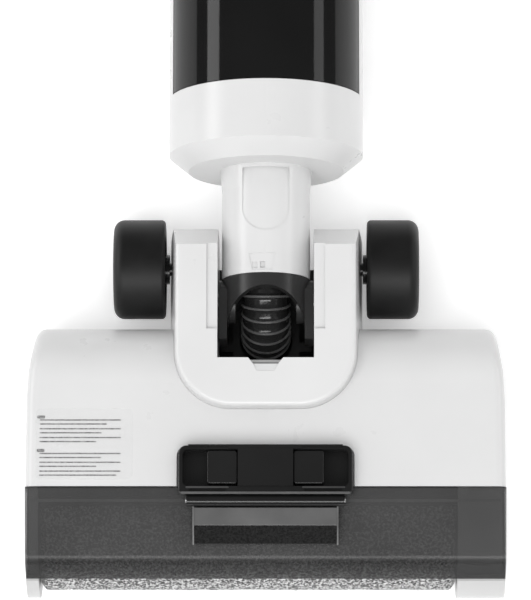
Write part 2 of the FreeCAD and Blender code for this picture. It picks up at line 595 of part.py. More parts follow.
SPINE_LOW = PIVOT_Z - 10.0
SPINE_HIGH = PIVOT_Z + 6.0
column = rod_y(CUP_RIM_Y + 0.05, MODULE_TOP_Y, 0, PIVOT_Z, BODY_R)
spine = column.common(box(-60, 60, 100, 400, PIVOT_Z - 17.4, PIVOT_Z + 17.4))
SPINE_HALF = TANK_HALF_WIDTH + FIT
for low, high in ((SPINE_HIGH, 100), (0, SPINE_LOW)):
    spine = spine.cut(box(-SPINE_HALF, SPINE_HALF, 100, 400, low, high))
for x in (-40.0, -20.0, 0.0, 20.0, 40.0):
    spine = spine.cut(rod_y(100, 400, x, PIVOT_Z - 2.0, 5.0))
add("body_spine", spine)

PIPE_Z = PIVOT_Z + 26.0
pipe = rod((0, 78, PIVOT_Z - 3.5), (0, 130, PIPE_Z + 3.5), 14.0)
pipe = pipe.cut(rod((0, 76, PIVOT_Z - 4.6), (0, 134, PIPE_Z + 5.8), 12.0))
pipe = pipe.common(box(-30, 30, 83.05, CUP_RIM_Y - 0.2, 0, 120))
add("inlet_pipe", pipe)

pump = box(-44, -22, 96, 120, PIVOT_Z - 26, PIVOT_Z - 6).fuse(rod_y(92, 97, -33, PIVOT_Z - 16, 6))
pump = pump.fuse(rod_y(119, CUP_RIM_Y - 0.2, -33, PIVOT_Z - 16, 4))
add("water_pump", pump.removeSplitter())

# ---- dirty-water tank ----
def tank_block(y0, y1, inset):
    half = TANK_HALF_WIDTH - inset
    block = rod_y(y0 + inset, y1, 0, PIVOT_Z, BODY_R - inset)
    return block.common(box(-half, half, y0 + inset, y1, SPINE_HIGH + FIT + inset, 130))


tank_y = CUP_RIM_Y + 0.5
tank = tank_block(tank_y, TANK_TOP_Y, 0).cut(tank_block(tank_y, TANK_TOP_Y, 2.3))
tank = tank.fuse(rod_y(tank_y, 292, 0, PIPE_Z, 14.5))
tank = tank.cut(rod_y(100, 300, 0, PIPE_Z, 12.3))
add("tank_shell", tank.removeSplitter())

lid = tank_block(TANK_TOP_Y + 0.05, MODULE_TOP_Y, 0)
filter_room = tank_block(MODULE_TOP_Y - 9, MODULE_TOP_Y + 1, 3.0)
lid = lid.cut(filter_room.common(box(-50, 50, 330, 346, 0, PIVOT_Z + 46)))
lid = lid.fuse(tank_block(TANK_TOP_Y - 6, TANK_TOP_Y + 0.1, 2.6).common(box(-52, 52, 320, 331, 0, 130)))
lid = lid.cut(tank_block(TANK_TOP_Y - 10, TANK_TOP_Y - 0.5, 5.0))
lid = lid.fuse(rod_y(296, 334, 30, PIPE_Z, 2.0)).fuse(rod_y(294.5, 296.5, 30, PIPE_Z, 4.0))
lid = lid.cut(box(-14.3, 14.3, 333.7, 342.3, PIVOT_Z + 49.5, 130))
for x in (-28.0, -10.0, 10.0):
    lid = lid.cut(rod_y(320, 350, x, PIVOT_Z + 24, 6.0))
add("tank_lid", lid.removeSplitter())
pad = tank_block(MODULE_TOP_Y - 8.9, MODULE_TOP_Y - 0.6, 3.4)
add("tank_filter", pad.common(box(-48, 48, 334, 346, 0, PIVOT_Z + 45.6)))
add("tank_float", rod_y(297.0, 311.0, 30, PIPE_Z, 8.5).cut(rod_y(290, 320, 30, PIPE_Z, 2.0 + RUNNING)))
seal = rod_y(tank_y - 0.25, tank_y - 0.02, 0, PIPE_Z, 16.0).cut(rod_y(100, 140, 0, PIPE_Z, 12.4))
add("tank_seal", seal)
button = box(-14, 14, 334, 342, PIVOT_Z + 52.7, 130).common(rod_y(300, 360, 0, PIVOT_Z, BODY_R + 0.8))
add("tank_release_button", button)

# ---- clean-water tank ----
def clean_block(inset):
    half = TANK_HALF_WIDTH - inset
    block = rod_y(tank_y + inset, MODULE_TOP_Y - inset, 0, PIVOT_Z, BODY_R - inset)
    return block.common(box(-half, half, 100, 400, -10, SPINE_LOW - FIT - inset))


CAP_Y = 318.0
clean = clean_block(0).cut(clean_block(2.3))
cap_seat = rod_z(2, 14, 0, CAP_Y, 19.0).common(clean_block(0.01))
clean = clean.fuse(cap_seat).cut(rod_z(-5, 9.0, 0, CAP_Y, 16.0)).cut(rod_z(0, 20, 0, CAP_Y, 11.0))
add("clean_tank", clean.removeSplitter())
cap = rod_z(3.2, 8.7, 0, CAP_Y, 15.6).fuse(rod_z(8, 14, 0, CAP_Y, 10.6))
cap = cap.cut(box(-16, 16, CAP_Y - 1.5, CAP_Y + 1.5, 2, 4.5))
add("clean_tank_cap", cap)

# ---- motor housing and what it holds ----
HOUSING_Y = MODULE_TOP_Y + 0.5
case = rod_y(HOUSING_Y, HOUSING_END_Y, 0, PIVOT_Z, BODY_R)
case = case.cut(rod_y(HOUSING_Y + 3, HOUSING_END_Y, 0, PIVOT_Z, BODY_R - WALL))
case = case.cut(rod_y(340, 360, 0, PIVOT_Z + 24, 18.0))
outer_skin = rod_y(300, 520, 0, PIVOT_Z, BODY_R + 1).cut(rod_y(300, 520, 0, PIVOT_Z, BODY_R - 1.4))
case = case.cut(outer_skin.common(box(-22, 22, 428, 488, PIVOT_Z + 40, 130)))
case = case.cut(outer_skin.common(box(-32, 32, 364, 416, -5, PIVOT_Z - 40)))
vents = [box(-26, 26, 367.4 + i * 8.4, 370.6 + i * 8.4, -5, PIVOT_Z - 40) for i in range(6)]
case = case.cut(Part.makeCompound(vents))
add("motor_housing", case)

lens = rod_y(428.3, 487.7, 0, PIVOT_Z, BODY_R).cut(rod_y(400, 500, 0, PIVOT_Z, BODY_R - 1.3))
add("display_lens", lens.common(box(-21.7, 21.7, 428, 488, PIVOT_Z + 40, 130)))
grille = rod_y(364.3, 415.7, 0, PIVOT_Z, BODY_R).cut(rod_y(300, 500, 0, PIVOT_Z, BODY_R - 1.3))
grille = grille.common(box(-31.7, 31.7, 364, 416, -5, PIVOT_Z - 40))
add("exhaust_grille", grille.cut(Part.makeCompound(vents)))

suction = rod_y(372, 420, 0, PIVOT_Z, 30.0).fuse(rod_y(380, 384, 0, PIVOT_Z, BODY_R - WALL - 0.15))
for i in range(8):
    angle = math.radians(i * 45)
    suction = suction.cut(rod_y(378, 386, 43 * math.cos(angle), PIVOT_Z + 43 * math.sin(angle), 8.0))
suction = suction.cut(rod_y(370, 412, 0, PIVOT_Z, 3.0 + RUNNING))
add("suction_motor", suction.removeSplitter())
fan = rod_y(368.5, 371, 0, PIVOT_Z, 29.0)
fan = fan.fuse(rod_y(360, 410, 0, PIVOT_Z, 3.0)).fuse(rod_y(359, 369, 0, PIVOT_Z, 7.0))
for i in range(9):
    angle = i * 40
    vane = box(6.0, 28.0, 362, 369, PIVOT_Z - 0.6, PIVOT_Z + 0.6)
    vane.rotate(Vector(0, 0, PIVOT_Z), Vector(0, 1, 0), angle)
    fan = fan.fuse(vane)
add("fan_impeller", fan.removeSplitter())

cells = []
for x in (-20.0, 0.0, 20.0):
    for z in (-26.0, -6.0):
        cells.append(rod_y(426, 491, x, PIVOT_Z + z, 9.0))
add("battery_cells", Part.makeCompound(cells))
tray = box(-32, 32, 422.5, 494.5, PIVOT_Z - 38, PIVOT_Z + 6).cut(box(-29.5, 29.5, 425.8, 491.2, 0, 100))
add("battery_tray", tray)
board = box(-24, 24, 424, 492, PIVOT_Z + 46.0, PIVOT_Z + 47.6)
add("control_board", board.fuse(box(-12, 12, 435, 455, PIVOT_Z + 40, PIVOT_Z + 46.1)).removeSplitter())

# ---- handle ----
joint_ring = HOUSING_END_Y + 0.05
socket_outer = turned([
    (joint_ring, 0), (joint_ring, BODY_R), (518, 54.0), (538, 38.0), (552, 25.0),
    (HANDLE_SOCKET_END_Y, 19.0), (HANDLE_SOCKET_END_Y, 0)])
socket_inner = turned([
    (490, 0), (490, BODY_R - WALL), (joint_ring, BODY_R - WALL), (517, 51.2), (536.5, 35.2),
    (545, 25.0), (545, 0)])
shoulder = socket_outer.cut(socket_inner).cut(rod_y(500, 600, 0, PIVOT_Z, HANDLE_R + 0.05))
shoulder = rounded(shoulder, 8.0, lambda e: 510 < e.CenterOfMass.y < 541 and e.BoundBox.XLength > 74)
add("handle_socket", shoulder)
tube = rod_y(546, HANDLE_END_Y, 0, PIVOT_Z, HANDLE_R)
add("handle_tube", tube.cut(rod_y(540, 810, 0, PIVOT_Z, HANDLE_R - 1.5)))


def loop_block(half_length, half_height, x_half):
    """Flat block with half-round ends, the outline of the grip loop."""
    run = half_length - half_height
    block = box(-x_half, x_half, GRIP_Y - run, GRIP_Y + run, GRIP_Z - half_height, GRIP_Z + half_height)
    for y in (GRIP_Y - run, GRIP_Y + run):
        block = block.fuse(rod_x(-x_half, x_half, y, GRIP_Z, half_height))
    return block.removeSplitter()


def is_finger_gap_edge(edge):
    centre = edge.CenterOfMass
    beside = abs(centre.x) > GRIP_HALF_WIDTH - 1
    return beside and abs(centre.z - GRIP_Z) < 18 and abs(centre.y - GRIP_Y) < 46


grip = loop_block(GRIP_HALF_LENGTH, GRIP_HALF_HEIGHT, GRIP_HALF_WIDTH)
grip = rounded(grip, 7.0, lambda e: abs(e.CenterOfMass.x) > GRIP_HALF_WIDTH - 0.1)
finger_gap = loop_block(45.0, 17.0, GRIP_HALF_WIDTH + 1)
grip = grip.cut(finger_gap)
grip = rounded(grip, 5.0, is_finger_gap_edge)
collar = rod_y(772.0, 815.0, 0, PIVOT_Z, 17.5).cut(finger_gap)
grip = grip.fuse(collar).cut(rod_y(765.0, HANDLE_END_Y + 0.05, 0, PIVOT_Z, HANDLE_R + 0.05))
for name, y in (("power_button", 852.0), ("clean_button", 882.0)):
    grip = grip.cut(rod_z(PIVOT_Z + 8.0, 100, 0, y, 7.6))
    key = rod_z(PIVOT_Z + 10.5, PIVOT_Z + 17.0, 0, y, 7.2)
    add(name, rounded(key, 1.2, lambda e: e.CenterOfMass.z > PIVOT_Z + 16))
add("handle_grip", grip.removeSplitter())

# ---- write one file per piece ----
os.makedirs("parts", exist_ok=True)
for name, shape in parts.items():
    shape = shape.copy()
    shape.translate(Vector(0, FRAME_SHIFT_Y, 0))
    shape.exportStep("parts/" + name + ".step")
print("pieces written:", len(parts))
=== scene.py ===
import json
import math
import bpy
from mathutils import Matrix, Vector, noise


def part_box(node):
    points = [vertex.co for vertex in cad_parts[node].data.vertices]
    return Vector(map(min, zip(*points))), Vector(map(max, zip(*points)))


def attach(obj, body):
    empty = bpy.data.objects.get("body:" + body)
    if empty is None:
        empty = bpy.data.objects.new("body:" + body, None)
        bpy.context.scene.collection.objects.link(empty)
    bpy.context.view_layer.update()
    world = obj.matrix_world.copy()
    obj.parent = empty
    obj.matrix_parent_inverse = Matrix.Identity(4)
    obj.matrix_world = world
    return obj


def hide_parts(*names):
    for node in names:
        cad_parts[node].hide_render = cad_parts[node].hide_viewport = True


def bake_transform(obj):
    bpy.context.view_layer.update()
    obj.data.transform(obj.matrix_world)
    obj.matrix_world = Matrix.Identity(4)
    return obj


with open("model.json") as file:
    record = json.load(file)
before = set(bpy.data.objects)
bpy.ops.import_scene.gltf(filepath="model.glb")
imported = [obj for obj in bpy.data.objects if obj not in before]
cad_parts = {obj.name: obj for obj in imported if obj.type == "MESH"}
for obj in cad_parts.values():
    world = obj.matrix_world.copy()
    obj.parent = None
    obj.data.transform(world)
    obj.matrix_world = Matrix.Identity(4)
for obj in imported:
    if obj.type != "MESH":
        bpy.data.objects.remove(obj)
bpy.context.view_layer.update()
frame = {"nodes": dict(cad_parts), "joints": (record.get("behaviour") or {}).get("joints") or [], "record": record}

MM = 0.001
nodes = frame["nodes"]
joints = {j["name"]: j for j in frame["joints"]}
PIVOT = Vector(joints["recline"]["pos_m"])
PIVOT_Z = 60.0                       # millimetres above the floor
SIDES = ((-1, "left"), (1, "right"))


def at(x, y, z):
    """A point given in millimetres from the foot of the recline pivot, in the row frame."""
    return Vector((x * MM, PIVOT.y + y * MM, z * MM))


# ---------------------------------------------------------------- node helpers
def new_material(name, base, roughness, **constants):
    mat = bpy.data.materials.new(name)
    mat.use_nodes = True
    tree = mat.node_tree
    shader = tree.nodes["Principled BSDF"]
    colour = base if isinstance(base, tuple) else (base,) * 3
    shader.inputs["Base Color"].default_value = (*colour, 1)
    shader.inputs["Roughness"].default_value = roughness
    for key, value in constants.items():
        shader.inputs[key.replace("_", " ")].default_value = value
    return mat, tree, shader


def add_node(tree, kind, **settings):
    node = tree.nodes.new(kind)
    for key, value in settings.items():
        if key in node.inputs:
            node.inputs[key].default_value = value
        else:
            setattr(node, key, value)
    return node


def coordinates(tree, scale=(1, 1, 1)):
    """Object coordinates, stretched along the axes."""
    source = add_node(tree, "ShaderNodeTexCoord")
    mapping = add_node(tree, "ShaderNodeMapping")
    mapping.inputs["Scale"].default_value = scale
    tree.links.new(source.outputs["Object"], mapping.inputs["Vector"])
    return mapping.outputs["Vector"]


def noise_at(tree, vector, scale, detail=3.0, roughness=0.5):
    node = add_node(tree, "ShaderNodeTexNoise", Scale=scale, Detail=detail, Roughness=roughness)
    tree.links.new(vector, node.inputs["Vector"])
    return node.outputs["Fac"]


def ramp(tree, fac, stops):
    """Colour ramp with (position, grey or colour) stops."""
    node = add_node(tree, "ShaderNodeValToRGB")
    elements = node.color_ramp.elements
    while len(elements) < len(stops):
        elements.new(0.5)
    for element, (position, value) in zip(elements, stops):
        element.position = position
        colour = value if isinstance(value, tuple) else (value,) * 3
        element.color = (*colour, 1)
    tree.links.new(fac, node.inputs["Fac"])
    return node.outputs["Color"]


def remap(tree, fac, low, high):
    node = add_node(tree, "ShaderNodeMapRange")
    node.inputs["To Min"].default_value = low
    node.inputs["To Max"].default_value = high
    tree.links.new(fac, node.inputs["Value"])
    return node.outputs["Result"]


def add_bump(tree, shader, height, strength, distance, before=None):
    bump = add_node(tree, "ShaderNodeBump")
    bump.inputs["Strength"].default_value = strength
    bump.inputs["Distance"].default_value = distance
    tree.links.new(height, bump.inputs["Height"])
    if before is not None:
        tree.links.new(before, bump.inputs["Normal"])
    tree.links.new(bump.outputs["Normal"], shader.inputs["Normal"])
    return bump.outputs["Normal"]


# ---------------------------------------------------------------- materials
def moulded(name, low, high, rough_low, rough_high, grain, grain_depth, **constants):
    """Moulded plastic: slow tone drift, smudged gloss, fine surface grain over a faint ripple."""
    mat, tree, shader = new_material(name, high, rough_low, **constants)
    place = coordinates(tree)
    tone = noise_at(tree, place, 14.0, 4.0)
    tree.links.new(ramp(tree, tone, [(0.3, low), (0.7, high)]), shader.inputs["Base Color"])
    smudge = noise_at(tree, place, 38.0, 5.0, 0.6)
    tree.links.new(remap(tree, smudge, rough_low, rough_high), shader.inputs["Roughness"])
    ripple = add_bump(tree, shader, noise_at(tree, place, 60.0, 2.0), 0.05, 0.0004)
    add_bump(tree, shader, noise_at(tree, place, grain, 2.0), grain_depth, 0.0001, ripple)
    return mat


def see_through(name, low, high, alpha, rough_low, rough_high, **constants):
    """Clear or smoked plastic, with faint flow marks and wiped streaks in its gloss."""
    mat, tree, shader = new_material(name, high, rough_low, Alpha=alpha, **constants)
    place = coordinates(tree)
    tone = noise_at(tree, place, 9.0, 3.0)
    tree.links.new(ramp(tree, tone, [(0.3, low), (0.7, high)]), shader.inputs["Base Color"])
    streak = noise_at(tree, coordinates(tree, (0.25, 4.0, 1.0)), 60.0, 4.0, 0.6)
    tree.links.new(remap(tree, streak, rough_low, rough_high), shader.inputs["Roughness"])
    add_bump(tree, shader, noise_at(tree, place, 35.0, 2.0), 0.04, 0.0004)
    return mat


def brushed(name, low, high, along):
    """Metal with fine lines along one axis."""
    mat, tree, shader = new_material(name, high, 0.3, Metallic=1.0)
    scale = [900.0, 900.0, 900.0]
    scale[along] = 12.0
    lines = noise_at(tree, coordinates(tree, tuple(scale)), 1.0, 3.0)
    tree.links.new(ramp(tree, lines, [(0.3, low), (0.7, high)]), shader.inputs["Base Color"])
    tree.links.new(remap(tree, lines, 0.22, 0.42), shader.inputs["Roughness"])
    add_bump(tree, shader, lines, 0.12, 0.0001)
    return mat


def rubber(name, low, high, rough_low, rough_high, **constants):
    mat, tree, shader = new_material(name, high, rough_low, **constants)
    place = coordinates(tree)
    dust = noise_at(tree, place, 45.0, 6.0, 0.65)
    tree.links.new(ramp(tree, dust, [(0.35, low), (0.75, high)]), shader.inputs["Base Color"])
    tree.links.new(remap(tree, dust, rough_low, rough_high), shader.inputs["Roughness"])
    add_bump(tree, shader, noise_at(tree, place, 2400.0, 2.0), 0.25, 0.0001)
    return mat


def microfibre(name):
    """Short pile in two yarns: pale strands with dark flecks and shaded roots between tufts."""
    mat, tree, shader = new_material(
        name, 0.6, 0.95, Sheen_Weight=0.3, Sheen_Roughness=0.6)
    place = coordinates(tree)
    tuft = add_node(tree, "ShaderNodeTexVoronoi", Scale=620.0)
    tree.links.new(place, tuft.inputs["Vector"])
    flecks = noise_at(tree, place, 640.0, 2.0, 0.6)
    yarn = ramp(tree, flecks, [(0.44, 0.03), (0.49, 0.14), (0.55, 0.52), (0.62, 0.7)])
    shade = ramp(tree, tuft.outputs["Distance"], [(0.0, 1.0), (0.55, 0.86), (1.0, 0.5)])
    mix = add_node(tree, "ShaderNodeMix", data_type="RGBA", blend_type="MULTIPLY")
    mix.inputs["Factor"].default_value = 1.0
    tree.links.new(yarn, mix.inputs["A"])
    tree.links.new(shade, mix.inputs["B"])
    tree.links.new(mix.outputs["Result"], shader.inputs["Base Color"])
    add_bump(tree, shader, tuft.outputs["Distance"], 0.6, 0.0008)
    return mat


def paper(name):
    mat, tree, shader = new_material(name, (0.8, 0.8, 0.76), 0.9)
    place = coordinates(tree)
    fibre = noise_at(tree, place, 900.0, 4.0)
    tree.links.new(ramp(tree, fibre, [(0.3, 0.62), (0.7, 0.84)]), shader.inputs["Base Color"])
    pleat = add_node(tree, "ShaderNodeTexWave", Scale=90.0)
    tree.links.new(place, pleat.inputs["Vector"])
    add_bump(tree, shader, pleat.outputs["Fac"], 0.6, 0.001)
    return mat


def circuit(name):
    mat, tree, shader = new_material(name, (0.02, 0.16, 0.07), 0.35)
    place = coordinates(tree)
    tracks = add_node(tree, "ShaderNodeTexBrick", Scale=160.0)
    tree.links.new(place, tracks.inputs["Vector"])
    board, copper = (0.015, 0.14, 0.06), (0.05, 0.24, 0.1)
    tone = ramp(tree, tracks.outputs["Fac"], [(0.4, board), (0.6, copper)])
    tree.links.new(tone, shader.inputs["Base Color"])
    add_bump(tree, shader, tracks.outputs["Fac"], 0.3, 0.0002)
    return mat


def face_up_mask(tree, steep, flat, both_sides=False):
    """0 where a face leans past steep and 1 where it looks up past flat, by its normal's Z."""
    facing = add_node(tree, "ShaderNodeTexCoord")
    split = add_node(tree, "ShaderNodeSeparateXYZ")
    tree.links.new(facing.outputs["Normal"], split.inputs["Vector"])
    height = split.outputs["Z"]
    if both_sides:
        tilt = add_node(tree, "ShaderNodeMath", operation="ABSOLUTE")
        tree.links.new(height, tilt.inputs[0])
        height = tilt.outputs[0]
    mask = add_node(tree, "ShaderNodeMapRange")
    mask.inputs["From Min"].default_value = steep
    mask.inputs["From Max"].default_value = flat
    tree.links.new(height, mask.inputs["Value"])
    return mask.outputs["Result"]


def mix_by_mask(tree, shader, mask, at_zero, at_one):
    mix = add_node(tree, "ShaderNodeMix", data_type="RGBA")
    tree.links.new(mask, mix.inputs["Factor"])
    tree.links.new(at_zero, mix.inputs["A"])
    tree.links.new(at_one, mix.inputs["B"])
    tree.links.new(mix.outputs["Result"], shader.inputs["Base Color"])


def smoked_cover(name, alpha, painted_lit_top_tone, painted_shade_lip_tone, **constants):
    """Smoked window, paler on its upper face than on its steep front lip: the pale upper face is a painted
    reflection of the overhead light, the dark lip is painted shade.
    """
    mat, tree, shader = new_material(name, painted_lit_top_tone, 0.1, Alpha=alpha, **constants)
    # Painted light: faces that look up get the paler tone as a painted reflection, steep lip faces get the darker
    # tone as painted shade.
    mask = face_up_mask(tree, 0.55, 0.95, both_sides=True)
    place = coordinates(tree)
    drift = noise_at(tree, place, 22.0, 4.0)
    lip = ramp(tree, drift, [(0.3, painted_shade_lip_tone * 0.8), (0.7, painted_shade_lip_tone * 1.2)])
    top = ramp(tree, drift, [(0.3, painted_lit_top_tone * 0.88), (0.7, painted_lit_top_tone * 1.12)])
    mix_by_mask(tree, shader, mask, lip, top)
    smudge = noise_at(tree, coordinates(tree, (0.25, 4.0, 1.0)), 60.0, 4.0, 0.6)
    tree.links.new(remap(tree, smudge, 0.2, 0.28), shader.inputs["Roughness"])
    add_bump(tree, shader, noise_at(tree, place, 35.0, 2.0), 0.02, 0.0002)
    return mat


MATERIALS = {
    "white_plastic": moulded("white_shell", 0.67, 0.71, 0.24, 0.34, 3200.0, 0.03, IOR=1.46),
    "black_plastic": moulded("black_gloss", 0.008, 0.013, 0.14, 0.26, 3200.0, 0.03, IOR=1.46),
    "black_matte": moulded("black_satin", 0.012, 0.022, 0.36, 0.5, 2600.0, 0.15, IOR=1.46),
    "grey_plastic": moulded("grey_satin", 0.22, 0.27, 0.35, 0.46, 2600.0, 0.1, IOR=1.46),
    "smoked_plastic": see_through("smoked_window", 0.02, 0.028, 0.6, 0.05, 0.14, IOR=1.45),
    "clear_plastic": see_through("clear_tank", 0.55, 0.62, 0.42, 0.06, 0.16, IOR=1.45),
    "rubber": rubber("soft_rubber", 0.01, 0.018, 0.24, 0.36),
    "tyre_rubber": rubber("tyre_black", 0.005, 0.009, 0.42, 0.58, IOR=1.4),
    "microfibre": microfibre("roller_pile"),
    "steel": brushed("bright_steel", 0.5, 0.66, 0),
    "brass": brushed("contact_plating", (0.6, 0.43, 0.18), (0.8, 0.6, 0.28), 2),
    "board": circuit("board_green"),
    "cell_wrap": moulded(
        "cell_sleeve", (0.03, 0.09, 0.22), (0.05, 0.13, 0.3), 0.25, 0.38, 1500.0, 0.05),
    "filter_paper": paper("pleated_filter"),
    "label": see_through("clear_film", 0.78, 0.84, 0.05, 0.2, 0.3, IOR=1.2),
}
HOSE_RUBBER = rubber("hose_rubber", 0.012, 0.02, 0.1, 0.18)
# Painted highlight: the rings' grey stands for the bright crest lines along the hose.
CREST_HIGHLIGHT_RUBBER = rubber("hose_ring_painted_highlight", 0.07, 0.13, 0.22, 0.34)
FORK_BLACK = moulded("fork_satin", 0.022, 0.034, 0.3, 0.42, 2600.0, 0.12, IOR=1.46)
# Cover tones: 0.066 is the painted reflection on the upper face, 0.014 the painted shade on the steep lip.
COVER_SMOKE = smoked_cover("smoked_cover", 0.6, 0.066, 0.014, IOR=1.45, Specular_IOR_Level=0.3)
CAP_WHITE = moulded("end_cap_white", 0.5, 0.54, 0.28, 0.38, 3200.0, 0.03, IOR=1.46)
TANK_SMOKE = see_through("smoked_tank", 0.006, 0.01, 0.95, 0.04, 0.1, IOR=1.33)


def painted_reflection_tone(name, flat, steep):
    """Satin grey on faces that look up, a painted reflection of the overhead softbox, and dark flecked gloss on
    faces that lean.
    """
    mat, tree, shader = new_material(name, flat, 0.3, IOR=1.46)
    mask = face_up_mask(tree, 0.9, 0.97)
    place = coordinates(tree)
    drift = noise_at(tree, place, 30.0, 4.0)
    # Painted reflection: the grey on faces that look up stands for the softbox's light, not for a second paint
    # colour.
    painted_top_grey = ramp(tree, drift, [(0.3, flat * 0.8), (0.7, flat * 1.2)])
    speckle = noise_at(tree, place, 700.0, 3.0, 0.7)
    flecks = ramp(tree, speckle, [(0.35, steep * 0.5), (0.7, steep * 1.8)])
    mix_by_mask(tree, shader, mask, flecks, painted_top_grey)
    tree.links.new(remap(tree, mask, 0.12, 0.3), shader.inputs["Roughness"])
    add_bump(tree, shader, noise_at(tree, place, 2600.0, 2.0), 0.08, 0.0001)
    return mat


def repaint(obj, mat):
    obj.data.materials.clear()
    obj.data.materials.append(mat)


for part in frame["record"]["subparts"]:
    repaint(nodes[part["node"]], MATERIALS[part["material_slot"]])
repaint(nodes["tank_shell"], TANK_SMOKE)
repaint(nodes["neck_fork"], FORK_BLACK)
repaint(nodes["cover_window"], COVER_SMOKE)
for name in ("left_end_cap", "right_drive_housing"):
    repaint(nodes[name], CAP_WHITE)
repaint(nodes["latch_tongue"], painted_reflection_tone("latch_tongue_painted_reflection", 0.11, 0.012))


def trim(name, base, roughness, scale, stops, bump, depth, **constants):
    """Small moulded trim: a tone that drifts between two greys, over a slight bump."""
    mat, tree, shader = new_material(name, base, roughness, **constants)
    tone = noise_at(tree, coordinates(tree), scale)
    tree.links.new(ramp(tree, tone, stops), shader.inputs["Base Color"])
    add_bump(tree, shader, tone, bump, depth)
    return mat


# ---------------------------------------------------------------- mesh helpers
def mesh_object(name, verts, faces, mat, smooth=True):
    mesh = bpy.data.meshes.new(name)
    mesh.from_pydata([tuple(v) for v in verts], [], faces)
    mesh.update()
    if smooth:
        mesh.polygons.foreach_set("use_smooth", [True] * len(mesh.polygons))
    mesh.materials.append(mat)
    obj = bpy.data.objects.new(name, mesh)
    bpy.context.scene.collection.objects.link(obj)
    return obj


def ring_faces(rings, count, closed_ends=False):
    """Quads between successive rings of equal count."""
    faces = []
    for i in range(rings - 1):
        for j in range(count):
            k = (j + 1) % count
            faces.append((i * count + j, i * count + k, (i + 1) * count + k, (i + 1) * count + j))
    if closed_ends:
        faces.append(tuple(range(count))[::-1])
        faces.append(tuple((rings - 1) * count + j for j in range(count)))
    return faces


# ---------------------------------------------------------------- roller pile
def roller_pile():
    """Sleeve of short tufted pile: an uneven outer skin, rolled in at both ends, over the core."""
    low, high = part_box("roller_sleeve")
    core_low, core_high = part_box("roller_core")
    centre_y, centre_z = (low.y + high.y) / 2, (low.z + high.z) / 2
    radius = (high.z - low.z) / 2
    inner = (core_high.z - core_low.z) / 2 + 0.0002
    end_roll, tuft_depth, clump_depth = 0.004, 0.0011, 0.0006
    tufts_per_metre, clumps_per_metre = 650.0, 160.0
    along, around = 420, 520
    angles = [2 * math.pi * j / around for j in range(around)]
    turns = [(math.cos(a), math.sin(a)) for a in angles]

    def inner_ring(x):
        return [Vector((x, centre_y + inner * c, centre_z + inner * s)) for c, s in turns]

    verts = inner_ring(low.x)
    for i in range(along + 1):
        x = low.x + (high.x - low.x) * i / along
        from_end = min(x - low.x, high.x - x)
        roll_in = end_roll * max(0.0, 1 - from_end / end_roll) ** 2
        for c, s in turns:
            spot = Vector((x, radius * c, radius * s))
            tuft = noise.noise(spot * tufts_per_metre) * 0.5 + 0.5
            clump = noise.noise(spot * clumps_per_metre) * 0.5 + 0.5
            r = radius - roll_in - tuft_depth * (1 - tuft) - clump_depth * (1 - clump)
            verts.append(Vector((x, centre_y + r * c, centre_z + r * s)))
    verts += inner_ring(high.x)
    rings = along + 3
    faces = ring_faces(rings, around)
    last = (rings - 1) * around
    for j in range(around):
        k = (j + 1) % around
        faces.append((last + j, last + k, k, j))
    pile = mesh_object("roller_pile", verts, faces, MATERIALS["microfibre"])
    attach(pile, "roller")
    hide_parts("roller_sleeve")


roller_pile()


# ---------------------------------------------------------------- corrugated hose
# Millimetres; the hose leaves the neck level, bends down and ends in the socket.
HOSE_STRAIGHT = 28.0
HOSE_BEND_R = 29.0
HOSE_DIVE = math.radians(74)
HOSE_TAIL = 6.0
HOSE_BEND_Y = 11.0                   # where the bend starts
HOSE_ARC = HOSE_BEND_R * HOSE_DIVE
HOSE_LENGTH = HOSE_STRAIGHT + HOSE_ARC + HOSE_TAIL
HOSE_PITCH = 5.4
FIRST_RING = 2.4
HOSE_AROUND = 96


def hose_frame(s):
    """Centre and direction of the hose at s millimetres from its neck end."""
    if s <= HOSE_STRAIGHT:
        return (HOSE_BEND_Y + HOSE_STRAIGHT - s, PIVOT_Z), (-1.0, 0.0)
    turn = min(s - HOSE_STRAIGHT, HOSE_ARC) / HOSE_BEND_R
    y = HOSE_BEND_Y - HOSE_BEND_R * math.sin(turn)
    z = PIVOT_Z - HOSE_BEND_R * (1 - math.cos(turn))
    direction = (-math.cos(turn), -math.sin(turn))
    rest = max(0.0, s - HOSE_STRAIGHT - HOSE_ARC)
    return (y + direction[0] * rest, z + direction[1] * rest), direction


def corrugated_hose():
    """Wall of the wire-wound hose, swelling a little at each turn of the wire."""
    wall_radius, swell, swell_width, step = 13.3, 0.9, 1.0, 0.3
    steps = int(HOSE_LENGTH / step)
    verts = []
    for i in range(steps + 1):
        s = HOSE_LENGTH * i / steps
        (y, z), (dy, dz) = hose_frame(s)
        from_ring = abs((s - FIRST_RING + HOSE_PITCH / 2) % HOSE_PITCH - HOSE_PITCH / 2)
        radius = wall_radius + swell * math.exp(-(from_ring / swell_width) ** 2)
        for j in range(HOSE_AROUND):
            a = 2 * math.pi * j / HOSE_AROUND
            out_x = radius * math.cos(a)
            out_n = radius * math.sin(a)
            verts.append(at(out_x, y - dz * out_n, z + dy * out_n))
    faces = ring_faces(steps + 1, HOSE_AROUND, True)
    hose = mesh_object("hose_bellows", verts, faces, HOSE_RUBBER)
    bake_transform(hose)
    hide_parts("suction_hose")


